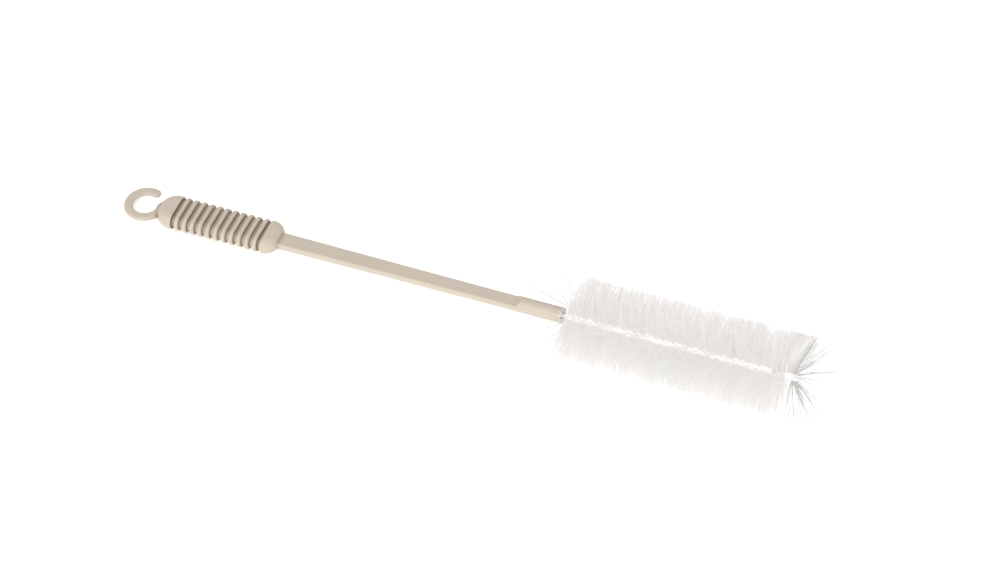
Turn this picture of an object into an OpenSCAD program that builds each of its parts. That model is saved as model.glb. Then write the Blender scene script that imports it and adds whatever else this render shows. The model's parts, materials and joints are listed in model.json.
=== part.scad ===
// Bottle brush: a moulded handle with a hanging hook, a twisted wire core and a round bristle head.
// It is drawn along +X from the back of the hook, then laid down as it comes to rest.

/* [Hook] */
// Inside diameter of the hanging eye
eye_d = 11.8; // [8:0.1:16]
// Width of the hook's bar, seen from above
hook_w = 4.2; // [3.6:0.1:6]
// Thickness of the hook's bar
hook_t = 2.4; // [2:0.1:4]
// Angle at which the hook's tip ends, from the grip's side
hook_tip_angle = 75; // [70:1:100]
// Distance from the eye to the shoulder
eye_land = 1.4; // [0.6:0.1:2]

/* [Grip] */
// Width of the grip
grip_w = 18; // [16.5:0.5:24]
// Thickness of the grip
grip_t = 8.4; // [7:0.1:9]
// Length of the plain shoulder, up to the first groove
shoulder_len = 10.1; // [9.4:0.1:14]
// Corner radius of the shoulder, seen from above
shoulder_r = 8; // [5:0.1:8]
// Number of grooves across the grip
groove_count = 12; // [6:1:16]
// Distance from one groove to the next
groove_pitch = 3.95; // [3.9:0.01:4.5]
// Width of a groove
groove_w = 1.45; // [0.8:0.05:1.6]
// Depth of a groove
groove_depth = 1.4; // [0.8:0.05:1.6]
// Rounding of each rib's edges
rib_r = 1.15; // [0.4:0.05:1.15]
// Rounding where the shoulder and the bulb end in a groove
lip_r = 0.5; // [0.2:0.05:0.8]
// Corner radius of the bulb that ends the grip, seen from above
bulb_r = 6.8; // [5:0.1:7.5]

/* [Shaft] */
// Length of the flat-topped shaft, from the bulb to the end of the flat
shaft_len = 116; // [60:0.2:200]
// Shaft diameter at the grip
shaft_d1 = 8.4; // [7.8:0.1:9]
// Shaft diameter at the socket
shaft_d2 = 7.2; // [6.6:0.1:7.8]
// Height of the flat above the shaft's axis
flat_h = 1.4; // [1:0.1:2]
// Width of the chamfer along the flat's edges
flat_chamfer = 0.5; // [0.2:0.05:0.8]
// Radius of the run-out at the end of the flat
runout_r = 3.5; // [3:0.1:6]
// Diameter of the round socket
socket_d = 7.4; // [7.2:0.1:9]
// Length of the round socket, from the end of the flat
socket_len = 23.6; // [22:0.1:40]
// Chamfer around the socket's face
socket_chamfer = 0.3; // [0.1:0.05:0.6]

/* [Wire] */
// Diameter of each strand
strand_d = 1; // [0.8:0.05:1.2]
// Space between the strands, which the bristles fill
strand_gap = 0.12; // [0.1:0.01:0.2]
// Length of one full turn of the twist
lay = 9.15; // [8:0.05:14]
// Outside width of the hairpin bend at the tip
hairpin_w = 3.6; // [3:0.1:4.4]
// Length over which the strands spread into the hairpin bend
hairpin_flare = 3.2; // [2:0.1:5]
// Length of wire held in the socket
wire_embed = 18; // [10:0.5:20]
// Clearance around the wire in its bore
bore_clearance = 0.06; // [0.03:0.01:0.1]

/* [Bristles] */
// Diameter over the bristles
head_d = 40; // [25:0.5:60]
// Length of the bristle head
head_len = 106; // [60:0.5:160]
// Bare wire between the socket and the bristles
head_gap = 0.8; // [0.8:0.1:5]
// Bare wire between the bristles and the start of the hairpin's flare
tip_bare = 0.2; // [0.1:0.1:2]
// Width of the bristle sheet, as an angle about the wire
sheet_angle = 16; // [12:1:24]
// Thickness of the bristle sheet where it passes between the strands
sheet_core = 0.08; // [0.06:0.01:0.09]
// Diameter of a splayed filament at the tip
filament_d = 0.2; // [0.15:0.01:0.3]

/* [Hidden] */

plastic_colour = [0.82, 0.76, 0.68];
white_colour = [0.95, 0.95, 0.94];
round_fn = 64;
cut = 40; // larger than any section that is cut away

grip_r = grip_t / 2;
grip_flat = grip_w / 2 - grip_r; // from the middle to where the rounded side starts
core_r = grip_r - groove_depth;

eye_x = eye_d / 2 + hook_w;
ring_r = (eye_d + hook_w) / 2;
shoulder_x = eye_x + eye_d / 2 + eye_land;
root_angle = 355; // where the hook's bar ends, inside its web
web_r = 5.2; // round web that carries the bar into the shoulder
web_rise = 0.2; // how far the web stands above the bar
web_lip = 0.4; // how far the web reaches into the eye
corner_x = shoulder_x + shoulder_r;
first_groove_x = shoulder_x + shoulder_len;
last_groove_x = first_groove_x + (groove_count - 1) * groove_pitch;
bulb_land = 0.1; // straight part between the last groove and the bulb's round end
bulb_x = last_groove_x + groove_w / 2 + lip_r + bulb_land;
bulb_end_x = bulb_x + bulb_r;

shaft_x = bulb_x + 2;
flat_end_x = bulb_end_x + shaft_len;
socket_end_x = flat_end_x + socket_len;
neck_len = 2; // cone between the shaft and the socket

strand_r = strand_d / 2;
strand_offset = (strand_d + strand_gap) / 2;
wire_r = strand_offset + strand_r;
bore_r = wire_r + bore_clearance;
wire_start_x = socket_end_x - wire_embed;
bore_end_gap = 0.3; // space behind the wire's cut ends

head_x = socket_end_x + head_gap;
head_end_x = head_x + head_len;
flare_x = head_end_x + tip_bare;
bend_r = hairpin_w / 2 - strand_r;
bend_x = flare_x + hairpin_flare;
tip_x = bend_x + bend_r + strand_r;

// The brush touches the floor below the shoulder's rounded edge and at the head's rear rim.
rest_x = shoulder_x + grip_r;
rest_reach = norm([head_d / 2, head_x - rest_x]);
rest_tilt = acos(grip_r / rest_reach) - atan2(head_x - rest_x, head_d / 2);
rest_z = grip_r - rest_x * sin(rest_tilt);

// Splayed filaments in the hairpin's plane: clock angle, angle from the axis, length
edge_fan = [
  [5, 29, 23.5], [26, 49, 22], [36, 68, 21], [40, 78, 20.5], [44, 89, 20.5],
  [253, 37, 19], [244, 47, 21], [237, 57, 19.5], [234, 65, 20.5], [231, 73, 20],
  [226, 83, 20], [221, 89, 19.5], [215, 86, 20]
];
// Splayed filaments out of the hairpin's eye, to either side of its plane
face_fan = [
  [110, 70, 20], [135, 45, 20], [150, 75, 19.5], [290, 70, 20], [315, 45, 20.5], [335, 72, 19.5]
];
fan_x = bend_x - 0.6; // where the splayed filaments spring from
edge_fan_start = tip_x - fan_x + 0.3;
face_fan_start = 1;

fan_tips_x = [for (f = concat(edge_fan, face_fan)) fan_tip(f)];
mid_x = max(fan_tips_x) / 2;

// Distance along the floor from the back of the hook to a splayed filament's end
function fan_tip(f) =
  (fan_x + f[2] * cos(f[1])) * cos(rest_tilt)
  - f[2] * sin(f[1]) * sin(f[0]) * sin(rest_tilt);

// Lays the brush on the floor, with the middle of its length at the origin.
module at_rest() {
  translate([-mid_x, 0, rest_z])
    rotate([0, -rest_tilt, 0])
      children();
}

// Turns something drawn along Z so that it runs along X.
module along_x() {
  rotate([90, 0, 90])
    children();
}

// Outline of a bar with a flat top and bottom and fully rounded sides, from the middle outwards
module round_edge(reach, radius) {
  translate([0, -radius])
    square([reach - radius, 2 * radius]);
  intersection() {
    translate([reach - radius, 0])
      circle(r = radius, $fn = round_fn);
    translate([0, -radius])
      square([reach, 2 * radius]);
  }
}

// Half outline of one band of the grip between two places, with its outer corners rounded
module band(from_x, to_x, from_r, to_r) {
  translate([0, from_x + from_r])
    square([grip_r, to_x - from_x - from_r - to_r]);
  if (from_r > 0)
    band_corner(from_x + from_r, from_x, from_r);
  if (to_r > 0)
    band_corner(to_x - to_r, to_x - to_r, to_r);
}

module band_corner(centre_x, low_x, radius) {
  translate([0, low_x])
    square([grip_r - radius, radius]);
  translate([grip_r - radius, centre_x])
    circle(r = radius, $fn = round_fn);
}

// Half outline of the ribbed grip: distance from its axis against place along it
module grip_outline() {
  translate([0, corner_x])
    square([core_r, bulb_x - corner_x]);
  band(corner_x, first_groove_x - groove_w / 2, 0, lip_r);
  for (i = [0 : groove_count - 2]) {
    rib_x = first_groove_x + i * groove_pitch + groove_w / 2;
    band(rib_x, rib_x + groove_pitch - groove_w, rib_r, rib_r);
  }
  band(last_groove_x + groove_w / 2, bulb_x, lip_r, 0);
}

module grip() {
  rotate([0, -90, -90])
    linear_extrude(height = 2 * grip_flat, center = true) {
      grip_outline();
      mirror([1, 0])
        grip_outline();
    }
  for (side = [0, 1])
    mirror([0, side, 0])
      translate([0, grip_flat, 0])
        along_x()
          rotate([0, 0, -90])
            rotate_extrude(angle = 180, $fn = round_fn)
              grip_outline();
}

// End of the grip: a slab with rounded corners and fully rounded sides, which ends at the origin
module grip_end(corner_r) {
  corner_y = grip_w / 2 - corner_r;
  for (side = [0, 1])
    mirror([0, side, 0])
      translate([corner_r, corner_y, 0])
        rotate([0, 0, 90])
          rotate_extrude(angle = 90, $fn = round_fn)
            round_edge(corner_r, grip_r);
  rotate([90, 0, 0])
    linear_extrude(height = 2 * corner_y, center = true)
      translate([corner_r, 0])
        mirror([1, 0])
          round_edge(corner_r, grip_r);
}

module shoulder() {
  translate([shoulder_x, 0, 0])
    grip_end(shoulder_r);
}

module bulb() {
  translate([bulb_end_x, 0, 0])
    mirror([1, 0, 0])
      grip_end(bulb_r);
}

// Bar of the hook: a flat bar with rounded edges, bent round the eye, and its web at the shoulder
module hook() {
  translate([eye_x, 0, 0]) {
    rotate([0, 0, hook_tip_angle])
      rotate_extrude(angle = root_angle - hook_tip_angle, $fn = 2 * round_fn)
        translate([ring_r, 0])
          hook_section();
    rotate([0, 0, hook_tip_angle])
      translate([ring_r, 0, 0])
        rotate([0, 0, 180])
          rotate_extrude(angle = 180, $fn = round_fn)
            round_edge(hook_w / 2, hook_t / 2);
    translate([eye_d / 2 - web_lip + web_r, 0, 0])
      rotate_extrude($fn = round_fn)
        round_edge(web_r, hook_t / 2 + web_rise);
  }
}

module hook_section() {
  round_edge(hook_w / 2, hook_t / 2);
  mirror([1, 0])
    round_edge(hook_w / 2, hook_t / 2);
}

// Tapered shaft with its top cut flat
module shaft() {
  difference() {
    translate([shaft_x, 0, 0])
      along_x()
        cylinder(h = flat_end_x - shaft_x, d1 = shaft_d1, d2 = shaft_d2, $fn = round_fn);
    translate([shaft_x - 1, -cut / 2, flat_h])
      cube([flat_end_x - shaft_x + 2, cut, cut]);
    for (side = [0, 1])
      mirror([0, side, 0])
        flat_edge_cut();
  }
}

// Half width of the flat on a shaft of the given diameter
function flat_half(d) = sqrt(d * d / 4 - flat_h * flat_h);

// Wedge that chamfers one edge of the flat, following the shaft's taper
module flat_edge_cut() {
  taper = atan2(flat_half(shaft_d1) - flat_half(shaft_d2), flat_end_x - shaft_x);
  translate([shaft_x, flat_half(shaft_d1), flat_h])
    rotate([0, 0, -taper])
      rotate([-45, 0, 0])
        translate([-1, -cut / 2, -flat_chamfer / 2])
          cube([flat_end_x - shaft_x + 2, cut, cut]);
}

// Round socket that holds the wire, with a run-out at the end of the shaft's flat
module socket() {
  difference() {
    union() {
      translate([flat_end_x, 0, 0])
        along_x()
          cylinder(h = neck_len, d1 = shaft_d2, d2 = socket_d, $fn = round_fn);
      translate([flat_end_x + neck_len, 0, 0])
        along_x()
          cylinder(h = socket_len - neck_len - socket_chamfer, d = socket_d, $fn = round_fn);
      translate([socket_end_x - socket_chamfer, 0, 0])
        along_x()
          cylinder(
            h = socket_chamfer,
            d1 = socket_d,
            d2 = socket_d - 2 * socket_chamfer,
            $fn = round_fn
          );
    }
    translate([flat_end_x, 0, flat_h + runout_r])
      rotate([90, 0, 0])
        cylinder(h = cut, r = runout_r, center = true, $fn = round_fn);
  }
}

// One moulding: hook, shoulder, ribbed grip, bulb, shaft and socket, with a blind bore for the wire
module handle() {
  color(plastic_colour)
    at_rest()
      difference() {
        union() {
          hook();
          shoulder();
          grip();
          bulb();
          shaft();
          socket();
        }
        translate([wire_start_x - bore_end_gap, 0, 0])
          along_x()
            cylinder(h = wire_embed + bore_end_gap + 1, r = bore_r, $fn = round_fn);
      }
}

wire_sides = 8;
rings_per_turn = 14;
turn_rings = ceil((flare_x - wire_start_x) / lay * rings_per_turn);
flare_rings = 5;
bend_rings = 10;

// Clock angle of the first strand about the axis, which stops turning at the hairpin
function clock(x) = 360 * (min(x, flare_x) - head_x) / lay;

// Distance of a strand's centre from the axis, which spreads into the hairpin
function spread(x) =
  x <= flare_x ? strand_offset : strand_offset + (bend_r - strand_offset) * ease((x - flare_x) / hairpin_flare);

function ease(u) = u * u * (3 - 2 * u);

function radial(x) = [0, cos(clock(x)), sin(clock(x))];

// Places along the twisted pair, from the cut end to the start of the bend
strand_places = [
  for (i = [0 : turn_rings]) wire_start_x + (flare_x - wire_start_x) * i / turn_rings,
  for (i = [1 : flare_rings]) flare_x + hairpin_flare * i / flare_rings
];
strand_last = len(strand_places) - 1;

// Each entry is a point on the wire's centre line and the outward direction there.
wire_path = concat(
  [for (i = [0 : strand_last]) strand_point(strand_places[i], 1)],
  [for (i = [1 : bend_rings - 1]) bend_point(180 * i / bend_rings)],
  [for (i = [strand_last : -1 : 0]) strand_point(strand_places[i], -1)]
);
wire_last = len(wire_path) - 1;

function strand_point(x, side) = [[x, 0, 0] + side * spread(x) * radial(x), side * radial(x)];

function bend_point(a) =
  let (out = [sin(a), 0, 0] + cos(a) * radial(bend_x))
  [[bend_x, 0, 0] + bend_r * out, out];

function unit(v) = v / norm(v);

// One ring of points round the wire at a place on its path
function wire_ring(i) =
  let (
    before = wire_path[max(i - 1, 0)][0],
    after = wire_path[min(i + 1, wire_last)][0],
    run = unit(after - before),
    side = unit(cross(run, wire_path[i][1])),
    out = cross(side, run)
  )
  [
    for (k = [0 : wire_sides - 1])
      wire_path[i][0] + strand_r * (cos(360 * k / wire_sides) * out + sin(360 * k / wire_sides) * side)
  ];

// One length of wire, folded at the tip into a hairpin and twisted onto itself
module twisted_wire() {
  points = [for (i = [0 : wire_last]) each wire_ring(i)];
  walls = [
    for (i = [0 : wire_last - 1])
      for (k = [0 : wire_sides - 1])
        let (next = (k + 1) % wire_sides, a = i * wire_sides, b = a + wire_sides)
        each [[a + k, b + k, b + next], [a + k, b + next, a + next]]
  ];
  first_end = [for (k = [0 : wire_sides - 1]) k];
  last_end = [for (k = [wire_sides - 1 : -1 : 0]) wire_last * wire_sides + k];
  color(white_colour)
    at_rest()
      polyhedron(points = points, faces = concat(walls, [first_end, last_end]));
}

// Cross-section of the bristles: two thin fans that meet between the strands
module bristle_section() {
  for (side = [0, 180])
    rotate([0, 0, side])
      polygon([
        [-sheet_core / 2, -sheet_core],
        [sheet_core / 2, -sheet_core],
        head_d / 2 * [sin(sheet_angle / 2), cos(sheet_angle / 2)],
        head_d / 2 * [0, 1],
        head_d / 2 * [-sin(sheet_angle / 2), cos(sheet_angle / 2)]
      ]);
}

// The bristles as one closed sheet, wound round the axis with the wire's own twist
module bristles() {
  slices_per_turn = 32;
  color(white_colour)
    at_rest()
      translate([head_x, 0, 0])
        along_x()
          linear_extrude(
            height = head_len,
            twist = -360 * head_len / lay,
            slices = ceil(slices_per_turn * head_len / lay),
            segments = 10
          )
            bristle_section();
}

// One splayed filament: clock angle, angle from the axis and length in fan
module splayed(fan, start) {
  translate([fan_x, 0, 0])
    rotate([fan[0] - 90, 0, 0])
      rotate([0, 90 - fan[1], 0])
        translate([0, 0, start])
          cylinder(h = fan[2] - start, d = filament_d, $fn = 16);
}

module tip_filaments() {
  color(white_colour)
    at_rest() {
      for (fan = edge_fan)
        splayed(fan, edge_fan_start);
      for (fan = face_fan)
        splayed(fan, face_fan_start);
    }
}

handle();
twisted_wire();
bristles();
tip_filaments();
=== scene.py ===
import json
import math
import random

import bmesh
import bpy
from mathutils import Matrix, Vector


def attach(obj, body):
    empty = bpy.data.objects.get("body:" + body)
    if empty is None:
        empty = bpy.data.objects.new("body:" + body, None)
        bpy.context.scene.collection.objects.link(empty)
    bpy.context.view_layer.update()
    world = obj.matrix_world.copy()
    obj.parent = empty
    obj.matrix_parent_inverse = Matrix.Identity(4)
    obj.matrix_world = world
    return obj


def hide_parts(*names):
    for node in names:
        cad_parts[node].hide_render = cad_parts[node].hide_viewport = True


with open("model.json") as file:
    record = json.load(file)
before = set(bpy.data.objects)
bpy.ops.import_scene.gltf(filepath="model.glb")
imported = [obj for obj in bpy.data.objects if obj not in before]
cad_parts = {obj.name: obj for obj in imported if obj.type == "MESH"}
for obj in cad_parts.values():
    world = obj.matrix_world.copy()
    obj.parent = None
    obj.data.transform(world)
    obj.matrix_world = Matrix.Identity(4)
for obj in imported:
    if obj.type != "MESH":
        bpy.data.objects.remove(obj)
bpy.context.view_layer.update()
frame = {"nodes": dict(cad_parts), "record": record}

mm = 0.001

# The brush's own axes: x runs from the hook's eye to the bristles, z stands square to the hook
hookEye = next(m for m in frame["record"]["mounts"] if m["name"] == "hook_eye")
eyeCentre = Vector(hookEye["pos_m"])
squareUp = Vector(hookEye["axis"]).normalized()
along = Vector((squareUp.z, 0, -squareUp.x))
across = Vector((0, 1, 0))
brushTurn = Matrix((along, across, squareUp)).transposed().to_4x4()
brushToFloor = Matrix.Translation(eyeCentre) @ brushTurn
floorToBrush = brushToFloor.inverted()


def nodeSpan(node):
    # where a CAD node starts and ends along the brush
    places = [(floorToBrush @ v.co).x for v in frame["nodes"][node].data.vertices]
    return min(places), max(places)


socketEnd = nodeSpan("handle")[1]
wireStart = nodeSpan("twisted_wire")[0]
headStart, headEnd = nodeSpan("bristles")
print("brush: socket ends at", round(socketEnd, 4), "head", round(headStart, 4), "to", round(headEnd, 4))


# Helpers for node groups and materials

def newGroup(name, inputs, outputs):
    group = bpy.data.node_groups.new(name, "ShaderNodeTree")
    for label, value in inputs:
        socket = group.interface.new_socket(label, in_out="INPUT", socket_type="NodeSocketFloat")
        socket.default_value = value
    for label in outputs:
        group.interface.new_socket(label, in_out="OUTPUT", socket_type="NodeSocketFloat")
    return group, group.nodes.new("NodeGroupInput"), group.nodes.new("NodeGroupOutput")


def makeMouldGrain():
    # fine surface grain and slow cloudy variation, both from 0 to 1
    sizes = [("Grain Size", 2500.0), ("Cloud Size", 60.0)]
    group, given, result = newGroup("mouldGrain", sizes, ["Grain", "Cloud"])
    nodes, links = group.nodes, group.links
    place = nodes.new("ShaderNodeTexCoord")
    for label, detail, output in (("Grain Size", 3.0, "Grain"), ("Cloud Size", 2.0, "Cloud")):
        noise = nodes.new("ShaderNodeTexNoise")
        noise.inputs["Detail"].default_value = detail
        links.new(place.outputs["Object"], noise.inputs["Vector"])
        links.new(given.outputs[label], noise.inputs["Scale"])
        links.new(noise.outputs["Fac"], result.inputs[output])
    return group


def makeAxisFade():
    # 0 near the wire's middle line, 1 far from it
    reaches = [("Near", 1 * mm), ("Far", 2 * mm)]
    group, given, result = newGroup("axisFade", reaches, ["Outer"])
    nodes, links = group.nodes, group.links
    place = nodes.new("ShaderNodeTexCoord")
    offset = nodes.new("ShaderNodeVectorMath")
    offset.operation = "SUBTRACT"
    offset.inputs[1].default_value = eyeCentre
    swung = nodes.new("ShaderNodeVectorMath")
    swung.operation = "CROSS_PRODUCT"
    swung.inputs[1].default_value = along
    distance = nodes.new("ShaderNodeVectorMath")
    distance.operation = "LENGTH"
    ranger = nodes.new("ShaderNodeMapRange")
    links.new(place.outputs["Object"], offset.inputs[0])
    links.new(offset.outputs["Vector"], swung.inputs[0])
    links.new(swung.outputs["Vector"], distance.inputs[0])
    links.new(distance.outputs["Value"], ranger.inputs["Value"])
    links.new(given.outputs["Near"], ranger.inputs["From Min"])
    links.new(given.outputs["Far"], ranger.inputs["From Max"])
    links.new(ranger.outputs["Result"], result.inputs["Outer"])
    return group


mouldGrain = makeMouldGrain()
axisFade = makeAxisFade()


def addGroup(nodes, group, values):
    node = nodes.new("ShaderNodeGroup")
    node.node_tree = group
    for label, value in values.items():
        node.inputs[label].default_value = value
    return node


def newMaterial(name, look):
    material = bpy.data.materials.new(name)
    material.use_nodes = True
    nodes, links = material.node_tree.nodes, material.node_tree.links
    sizes = {"Grain Size": look["grainSize"], "Cloud Size": look["cloudSize"]}
    grain = addGroup(nodes, mouldGrain, sizes)
    return material, nodes, links, grain, nodes["Principled BSDF"]


def spread(nodes, links, source, wanted, given=(0.35, 0.65)):
    # stretches a pattern, by default the middle of a noise, to the wanted range
    ranger = nodes.new("ShaderNodeMapRange")
    ranger.inputs["From Min"].default_value = given[0]
    ranger.inputs["From Max"].default_value = given[1]
    ranger.inputs["To Min"].default_value = wanted[0]
    ranger.inputs["To Max"].default_value = wanted[1]
    links.new(source, ranger.inputs["Value"])
    return ranger.outputs["Result"]


def blendColours(nodes, links, amount, first, second):
    mix = nodes.new("ShaderNodeMix")
    mix.data_type = "RGBA"
    links.new(amount, mix.inputs["Factor"])
    for label, colour in (("A", first), ("B", second)):
        socket = next(s for s in mix.inputs if s.name == label and s.type == "RGBA")
        if isinstance(colour, tuple):
            socket.default_value = (*colour, 1)
        else:
            links.new(colour, socket)
    return next(s for s in mix.outputs if s.type == "RGBA")


def addBump(nodes, links, height, shader, look):
    bump = nodes.new("ShaderNodeBump")
    bump.inputs["Strength"].default_value = look["bumpStrength"]
    bump.inputs["Distance"].default_value = look["bumpDepth"]
    links.new(height, bump.inputs["Height"])
    links.new(bump.outputs["Normal"], shader.inputs["Normal"])


plasticLook = {
    "warm": (0.575, 0.495, 0.405),
    "cool": (0.55, 0.48, 0.40),
    # painted shade colour laid into the bottoms of the grooves
    "groove": (0.20, 0.15, 0.09),
    "grooveReach": 2.5 * mm,
    "grooveOpenness": (0.42, 0.97),  # all of the painted groove shade at the first, none at the second
    "grooveSamples": 8,
    "roughness": (0.42, 0.52),
    "ior": 1.5,
    "bumpStrength": 0.25,
    "bumpDepth": 0.03 * mm,
    "grainSize": 2600,
    "cloudSize": 45,
}


def makeHandlePlastic():
    look = plasticLook
    material, nodes, links, grain, shader = newMaterial("beigePlastic", look)
    cloud = spread(nodes, links, grain.outputs["Cloud"], (0, 1))
    body = blendColours(nodes, links, cloud, look["warm"], look["cool"])
    grooveOcclusion = nodes.new("ShaderNodeAmbientOcclusion")  # painted shade: darkens the grooves where ambient occlusion finds them hollow
    grooveOcclusion.samples = look["grooveSamples"]
    grooveOcclusion.inputs["Distance"].default_value = look["grooveReach"]
    depth = spread(nodes, links, grooveOcclusion.outputs["AO"], (1, 0), look["grooveOpenness"])
    colour = blendColours(nodes, links, depth, body, look["groove"])
    links.new(colour, shader.inputs["Base Color"])
    roughness = spread(nodes, links, grain.outputs["Grain"], look["roughness"])
    links.new(roughness, shader.inputs["Roughness"])
    shader.inputs["IOR"].default_value = look["ior"]
    addBump(nodes, links, grain.outputs["Grain"], shader, look)
    return material


wireLook = {
    "white": (0.90, 0.90, 0.885),
    "worn": (0.84, 0.84, 0.82),
    "glow": 0.25,  # stands for light that the white filaments round it pass on
    "roughness": (0.28, 0.4),
    "coat": 0.3,
    "bumpStrength": 0.2,
    "bumpDepth": 0.02 * mm,
    "grainSize": 1800,
    "cloudSize": 220,
}


def makeWireCoat():
    look = wireLook
    material, nodes, links, grain, shader = newMaterial("whiteWireCoat", look)
    cloud = spread(nodes, links, grain.outputs["Cloud"], (0, 1))
    colour = blendColours(nodes, links, cloud, look["white"], look["worn"])
    links.new(colour, shader.inputs["Base Color"])
    shader.inputs["Emission Color"].default_value = (1, 1, 1, 1)
    shader.inputs["Emission Strength"].default_value = look["glow"]
    roughness = spread(nodes, links, grain.outputs["Grain"], look["roughness"])
    links.new(roughness, shader.inputs["Roughness"])
    shader.inputs["Coat Weight"].default_value = look["coat"]
    addBump(nodes, links, grain.outputs["Grain"], shader, look)
    return material


nylonLook = {
    "white": (0.73, 0.725, 0.715),
    "shade": (0.66, 0.65, 0.64),
    "blush": (0.72, 0.685, 0.67),
    "blushAmount": 0.7,
    "looseColour": (0.60, 0.59, 0.575),
    "glow": (0.235, 0.2327, 0.2303),  # stands for light passed on from filament to filament
    "looseGlow": (0.02, 0.0198, 0.0196),
    "rootGlow": (0.62, 0.6138, 0.6076),
    "rootReach": (0.9 * mm, 1.8 * mm),  # the root's glow fades between these distances
    "roughness": (0.3, 0.45),
    "ior": 1.53,
    "grainSize": 900,
    "cloudSize": 55,
}


def makeNylon(name, packed):
    # packed filaments light each other, most of all round the wire; loose ones stay clear and grey
    look = nylonLook
    material, nodes, links, grain, shader = newMaterial(name, look)
    strand = nodes.new("ShaderNodeNewGeometry")  # each filament has its own shade
    own = strand.outputs["Random Per Island"]
    if packed:
        single = blendColours(nodes, links, own, look["white"], look["shade"])
        cloud = spread(nodes, links, grain.outputs["Cloud"], (0, look["blushAmount"]))
        colour = blendColours(nodes, links, cloud, single, look["blush"])
    else:
        colour = blendColours(nodes, links, own, look["looseColour"], look["shade"])
    links.new(colour, shader.inputs["Base Color"])
    near, far = look["rootReach"]
    fade = addGroup(nodes, axisFade, {"Near": near, "Far": far})
    outerGlow = look["glow"] if packed else look["looseGlow"]
    glow = blendColours(nodes, links, fade.outputs["Outer"], look["rootGlow"], outerGlow)
    links.new(glow, shader.inputs["Emission Color"])
    shader.inputs["Emission Strength"].default_value = 1
    roughness = spread(nodes, links, grain.outputs["Grain"], look["roughness"])
    links.new(roughness, shader.inputs["Roughness"])
    shader.inputs["IOR"].default_value = look["ior"]
    return material


handlePlastic = makeHandlePlastic()
wireCoat = makeWireCoat()
nylon = makeNylon("whiteNylon", True)
looseNylon = makeNylon("looseNylon", False)
print("materials: made")


# Filaments and wire are drawn as curves in the brush's own axes

def newCurve(name, radius, sides):
    # sides is 4, 8, 12 and so on
    curve = bpy.data.curves.new(name, "CURVE")
    curve.dimensions = "3D"
    curve.bevel_depth = radius
    curve.bevel_resolution = sides // 4 - 1
    curve.use_fill_caps = True
    return curve


def addStrand(curve, places, thickness=None):
    spline = curve.splines.new("POLY")
    spline.points.add(len(places) - 1)
    for i, (point, place) in enumerate(zip(spline.points, places)):
        point.co = (*place, 1)
        point.radius = thickness[i] if thickness else 1


def finishStrands(name, curve, material, node):
    # turns the curves into one mesh that lies where the brush lies
    drawn = bpy.data.objects.new(name + "Curve", curve)
    bpy.context.scene.collection.objects.link(drawn)
    bpy.context.view_layer.update()
    mesh = bpy.data.meshes.new_from_object(drawn.evaluated_get(bpy.context.evaluated_depsgraph_get()))
    bpy.data.objects.remove(drawn)
    bpy.data.curves.remove(curve)
    shaped = bmesh.new()
    shaped.from_mesh(mesh)
    bmesh.ops.transform(shaped, matrix=brushToFloor, verts=shaped.verts)
    shaped.to_mesh(mesh)
    shaped.free()
    mesh.name = name
    mesh.materials.clear()
    mesh.materials.append(material)
    piece = bpy.data.objects.new(name, mesh)
    bpy.context.scene.collection.objects.link(piece)
    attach(piece, "root")
    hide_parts(node)
    print(name, len(mesh.polygons), "faces")


wire = {
    "strandRadius": 0.5 * mm,
    "gap": 0.12 * mm,
    "lay": 9.15 * mm,
    "flareFromHead": 0.2 * mm,
    "flareLength": 3.2 * mm,
    "flareSteps": 12,
    "bendRadius": 1.3 * mm,
    "bendSteps": 20,
    "stepsPerTurn": 36,
    "sides": 12,
}
flareStart = headEnd + wire["flareFromHead"]
bendPlace = flareStart + wire["flareLength"]


def onAxis(x):
    return Vector((x, 0, 0))


def outwards(angle):
    return Vector((0, math.cos(angle), math.sin(angle)))


def clockAt(x):
    # angle of the first strand about the brush's axis, which stops turning at the hairpin
    return 2 * math.pi * (min(x, flareStart) - headStart) / wire["lay"]


def strandOffset(x):
    # the strands lie side by side as far as the hairpin, where they ease apart
    tight = wire["strandRadius"] + wire["gap"] / 2
    share = max(0, (x - flareStart) / wire["flareLength"])
    return tight + (wire["bendRadius"] - tight) * share * share * (3 - 2 * share)


def makeWire():
    # one length of wire, folded at the tip and twisted onto itself
    twistLength = flareStart - wireStart
    count = math.ceil(twistLength / wire["lay"] * wire["stepsPerTurn"])
    places = [wireStart + twistLength * i / count for i in range(count + 1)]
    flareSteps = wire["flareSteps"]
    places += [flareStart + wire["flareLength"] * i / flareSteps for i in range(1, flareSteps + 1)]
    run = [onAxis(x) + outwards(clockAt(x)) * strandOffset(x) for x in places]
    back = [onAxis(x) - outwards(clockAt(x)) * strandOffset(x) for x in reversed(places)]
    bend = []
    for i in range(1, wire["bendSteps"]):
        a = math.pi * i / wire["bendSteps"]
        out = onAxis(math.sin(a)) + outwards(clockAt(bendPlace)) * math.cos(a)
        bend.append(onAxis(bendPlace) + out * wire["bendRadius"])
    curve = newCurve("wire", wire["strandRadius"], wire["sides"])
    addStrand(curve, run + bend + back)
    finishStrands("twistedWire", curve, wireCoat, "twisted_wire")


makeWire()

farSide = math.radians(39)  # clock angle of the side on which the head's ends lean furthest
filamentSides = 4
head = {
    "radius": 20 * mm,
    "filament": 0.08 * mm,
    "looseFilament": 0.14 * mm,
    "floorGap": 0.182 * mm,
    "count": 9000,
    "bands": ("bristlesRear", "bristlesMiddle", "bristlesFront"),
    "tuft": 3,
    "tuftSpread": 0.4 * mm,
    "fan": 1.5,
    "fanSpread": 0.10,
    "ragged": 0.22 * mm,
    "bow": 0.15 * mm,
    "lean": 0.02,  # share of a filament's length by which its end lies ahead of its root
    "leanSpread": 0.02,
    "startReach": 10 * mm,
    "startLean": (0.10, 0.05),  # all round, and added on the far side
    "tipReach": 14 * mm,
    "tipLean": (0.15, 0.29),
    "endTufts": 260,
    "endReach": 7 * mm,
    "endFan": 0.8,
    "seed": 7,
}
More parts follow.
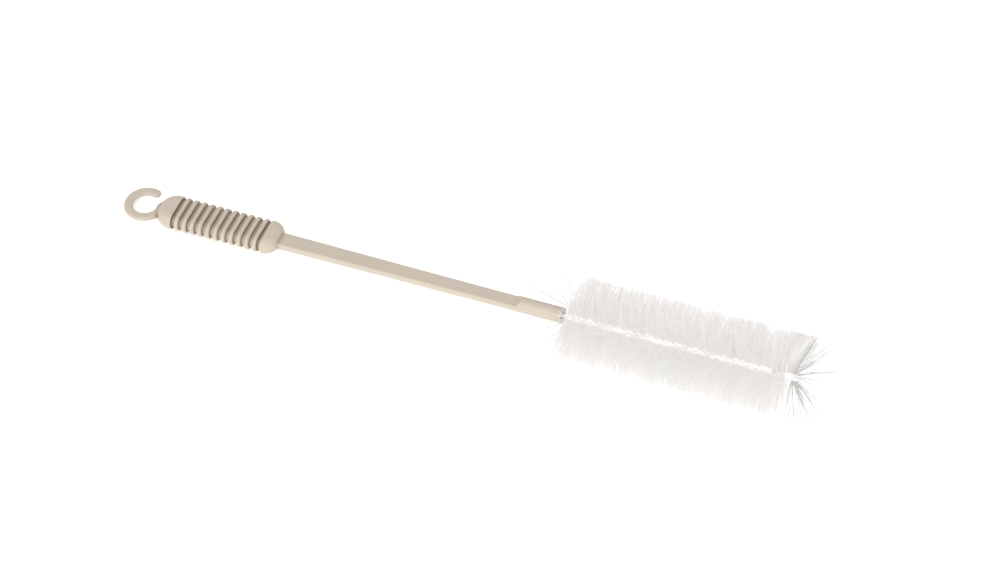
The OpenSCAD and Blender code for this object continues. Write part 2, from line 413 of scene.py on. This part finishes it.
# Points of a filament: share of its length, share of its turn away from the slot, thickness.
# It is slim near the wire, so that the strands show between the filaments.
filamentPoints = [(0.015, 0, 0.4), (0.07, 0.7, 0.5), (0.36, 1, 0.9), (0.7, 1, 1), (1, 1, 1)]


def pressed(places):
    # a filament that would go through the floor is pressed up onto it
    kept = []
    for place in places:
        spot = brushToFloor @ place
        spot.z = max(spot.z, head["floorGap"])
        kept.append(floorToBrush @ spot)
    return kept


def headLean(x, angle):
    # the head's two ends lean forwards, most of all on the far side
    farness = math.cos(angle - farSide)
    lean = head["lean"]
    startShare = 1 - (x - headStart) / head["startReach"]
    tipShare = 1 - (headEnd - x) / head["tipReach"]
    for share, (allRound, onFarSide) in ((startShare, head["startLean"]), (tipShare, head["tipLean"])):
        if share > 0:
            lean += share * (allRound + onFarSide * farness)
    return lean


def addTuft(curve, chance, start, side, tuftTurn):
    tuftLean = chance.gauss(0, head["leanSpread"])
    tuftBow = chance.gauss(0, head["bow"])
    tuftTrim = abs(chance.gauss(0, head["ragged"]))
    thickness = [thick for share, turned, thick in filamentPoints]
    for hair in range(head["tuft"]):
        x = start + chance.uniform(-1, 1) * head["tuftSpread"]
        x = min(max(x, headStart), headEnd)
        slot = clockAt(x) + math.pi / 2 + side
        turn = tuftTurn + chance.gauss(0, head["fanSpread"])
        angle = slot + turn
        reach = head["radius"] - tuftTrim - abs(chance.gauss(0, head["ragged"] / 2))
        ahead = (headLean(x, angle) + tuftLean + chance.gauss(0, head["leanSpread"])) * reach
        places = []
        for share, turned, thick in filamentPoints:
            sway = outwards(angle + math.pi / 2) * tuftBow * share * share
            place = outwards(slot + turn * turned) * reach * share + sway
            place.x = x + ahead * share
            places.append(place)
        addStrand(curve, pressed(places), thickness)


def makeHead():
    # pinched tufts that leave the wire's slot and fan out round the axis
    chance = random.Random(head["seed"])
    bands = head["bands"]
    perBand = head["count"] // head["tuft"] // len(bands)
    length = (headEnd - headStart) / len(bands)
    for band, name in enumerate(bands):
        curve = newCurve(name, head["filament"], filamentSides)
        for tuft in range(perBand):
            start = headStart + length * (band + (tuft + chance.random()) / perBand)
            side = math.pi if chance.random() < 0.5 else 0
            addTuft(curve, chance, start, side, chance.uniform(-head["fan"], head["fan"]))
        if name == bands[-1]:
            # the leaning end on the far side is as full as the rest
            for tuft in range(head["endTufts"]):
                start = headEnd - chance.random() * head["endReach"]
                clock = farSide + chance.gauss(0, head["endFan"])
                addTuft(curve, chance, start, 0, clock - clockAt(start) - math.pi / 2)
        finishStrands(name, curve, nylon, "bristles")


makeHead()

tip = {
    # clock angle and angle from the axis in degrees, length in millimetres, how many
    "splay": [
        (5, 29, 23, 4), (26, 49, 22, 4), (30, 56, 21.5, 3), (36, 68, 21, 2), (40, 78, 20.5, 1),
        (253, 37, 19, 3), (244, 47, 21, 4), (237, 57, 19.5, 4), (234, 65, 20.5, 4), (231, 73, 20, 3),
        (226, 83, 20, 3), (221, 89, 19.5, 2), (110, 70, 20, 4), (135, 45, 20, 2), (150, 75, 19.5, 3),
        (290, 70, 20, 4), (315, 45, 20.5, 2), (335, 72, 19.5, 3),
    ],
    "clockSpread": 4,
    "leanSpread": 3,
    "lengthSpread": (-0.8, 0.2),
    "bow": 0.7 * mm,
    "behindBend": 0.4 * mm,
    "rootAcross": 0.75 * mm,  # the roots fill the hairpin's eye
    "rootAlong": (-1.5, 0.9),
    "seed": 11,
}
# Points of a splayed filament: share of its length, thickness
splayPoints = [(-0.08, 1), (0.05, 1), (0.3, 1), (0.55, 1), (0.8, 1), (1, 0.8)]


def makeTipSplay():
    chance = random.Random(tip["seed"])
    curve = newCurve("tipSplay", head["looseFilament"], filamentSides)
    spring = bendPlace - tip["behindBend"]
    for clock, lean, length, count in tip["splay"]:
        for hair in range(count):
            angle = math.radians(clock + chance.gauss(0, tip["clockSpread"]))
            tilt = math.radians(lean + chance.gauss(0, tip["leanSpread"]))
            reach = (length + chance.uniform(*tip["lengthSpread"])) * mm
            bow = chance.gauss(0, 1) * tip["bow"]
            root = outwards(clockAt(bendPlace)) * chance.uniform(-1, 1) * tip["rootAcross"]
            root.x = chance.uniform(*tip["rootAlong"]) * mm
            places = []
            for share, thick in splayPoints:
                place = outwards(angle) * math.sin(tilt) * reach * share
                place += outwards(angle + math.pi / 2) * bow * share * abs(share)
                place.x = spring + math.cos(tilt) * reach * share
                places.append(place + root * (1 - max(share, 0)))
            addStrand(curve, pressed(places), [thick for share, thick in splayPoints])
    finishStrands("tipSplay", curve, looseNylon, "tip_filaments")


strays = {
    # clock angle in degrees, then in millimetres: end's place behind the root, its distance out, bow
    "filaments": [
        (39, 8, 19, 5), (39, 24, 9.8, 0.5), (36, 9, 10.5, 0.6), (44, 7, 6, 0.4),
        (219, 10, 15, 0.8), (214, 5, 17.5, 1), (224, 3.5, 17, 0.6), (160, 6, 16, 2),
    ],
    "rootFromStart": 1.5 * mm,
    "rim": 4.3 * mm,  # far enough out to clear the socket
}
insideRim = [(0.1, 1), (0.5, 1)]  # share of the way out to the rim, thickness
pastRim = [(0, 1.3), (0.2, 1.3), (0.4, 1.3), (0.6, 1.3), (0.8, 1.3), (1, 1)]  # share of the rest


def makeHandleStrays():
    # each one goes straight out past the socket's rim before it turns back along the handle
    curve = newCurve("strayFilaments", head["looseFilament"], filamentSides)
    root = headStart + strays["rootFromStart"]
    rim = strays["rim"]
    for clock, behind, out, bow in strays["filaments"]:
        outward = outwards(math.radians(clock))
        places = [onAxis(root) + outward * rim * share for share, thick in insideRim]
        for share, thick in pastRim:
            place = outward * (rim + (out * mm - rim) * share)
            place.x = root - behind * mm * share + bow * mm * math.sin(math.pi * share) / 2
            places.append(place)
        addStrand(curve, pressed(places), [thick for share, thick in insideRim + pastRim])
    finishStrands("strayFilaments", curve, looseNylon, "tip_filaments")


makeTipSplay()
makeHandleStrays()


# The moulded handle keeps its CAD shape; the other nodes are dressed too, though they are hidden

def dressNode(node, material):
    shown = frame["nodes"][node]
    shown.data.materials.clear()
    shown.data.materials.append(material)


dressNode("handle", handlePlastic)
dressNode("twisted_wire", wireCoat)
dressNode("bristles", nylon)
dressNode("tip_filaments", nylon)


studio = {
    "floorReach": 4,
    "floorColour": (0.92, 0.92, 0.92),
    "floorRoughness": 0.9,
    "floorShine": 0.1,
    "floorGlow": 0.4,
    "skyStrength": 0.75,
    "keyPower": 6.5,
    "keySize": 0.8,
    "keyPlace": (-0.25, -0.95, 0.75),
    "fillPower": 1.6,
    "fillSize": 1.2,
    "fillPlace": (0.7, -0.5, 1.1),
}


def makeFloor():
    shape = bmesh.new()
    bmesh.ops.create_grid(shape, x_segments=1, y_segments=1, size=studio["floorReach"])
    mesh = bpy.data.meshes.new("floor")
    shape.to_mesh(mesh)
    shape.free()
    material = bpy.data.materials.new("paleFloor")
    material.use_nodes = True
    shader = material.node_tree.nodes["Principled BSDF"]
    shader.inputs["Base Color"].default_value = (*studio["floorColour"], 1)
    shader.inputs["Roughness"].default_value = studio["floorRoughness"]
    shader.inputs["Specular IOR Level"].default_value = studio["floorShine"]
    shader.inputs["Emission Color"].default_value = (1, 1, 1, 1)
    shader.inputs["Emission Strength"].default_value = studio["floorGlow"]
    mesh.materials.append(material)
    floor = bpy.data.objects.new("floor", mesh)
    bpy.context.scene.collection.objects.link(floor)


def makeLamp(name, place, size, power):
    lamp = bpy.data.lights.new(name, "AREA")
    lamp.shape = "DISK"
    lamp.size = size
    lamp.energy = power
    shown = bpy.data.objects.new(name, lamp)
    shown.location = place
    shown.rotation_euler = Vector(place).to_track_quat("Z", "Y").to_euler()
    bpy.context.scene.collection.objects.link(shown)


def makeSky():
    sky = bpy.data.worlds.new("paleSky")
    sky.use_nodes = True
    background = sky.node_tree.nodes["Background"]
    background.inputs["Color"].default_value = (1, 1, 1, 1)
    background.inputs["Strength"].default_value = studio["skyStrength"]
    bpy.context.scene.world = sky


camera = {
    "azimuth": 23.05,
    "elevation": 49.26,
    "distance": 2.5,
    "lens": 199.9,
    "sensor": 36,
    "nearest": 0.05,
    "furthest": 20,
    "aim": (3.2 * mm, 0, 15 * mm),
    "right": 9.2 * mm,
    "up": 5.5 * mm,
}


def makeCamera():
    turn = math.radians(camera["azimuth"])
    rise = math.radians(camera["elevation"])
    towards = Vector((math.sin(turn) * math.cos(rise), -math.cos(turn) * math.cos(rise), math.sin(rise)))
    right = Vector((math.cos(turn), math.sin(turn), 0))
    up = towards.cross(right)
    data = bpy.data.cameras.new("camera")
    data.lens = camera["lens"]
    data.sensor_width = camera["sensor"]
    data.clip_start = camera["nearest"]
    data.clip_end = camera["furthest"]
    shown = bpy.data.objects.new("camera", data)
    aim = Vector(camera["aim"]) + right * camera["right"] + up * camera["up"]
    shown.location = aim + towards * camera["distance"]
    shown.rotation_euler = Matrix((right, up, towards)).transposed().to_euler()
    bpy.context.scene.collection.objects.link(shown)
    bpy.context.scene.camera = shown


makeFloor()
makeLamp("keyLamp", studio["keyPlace"], studio["keySize"], studio["keyPower"])
makeLamp("fillLamp", studio["fillPlace"], studio["fillSize"], studio["fillPower"])
makeSky()
makeCamera()
bpy.context.scene.view_settings.view_transform = "Standard"
print("studio: made")
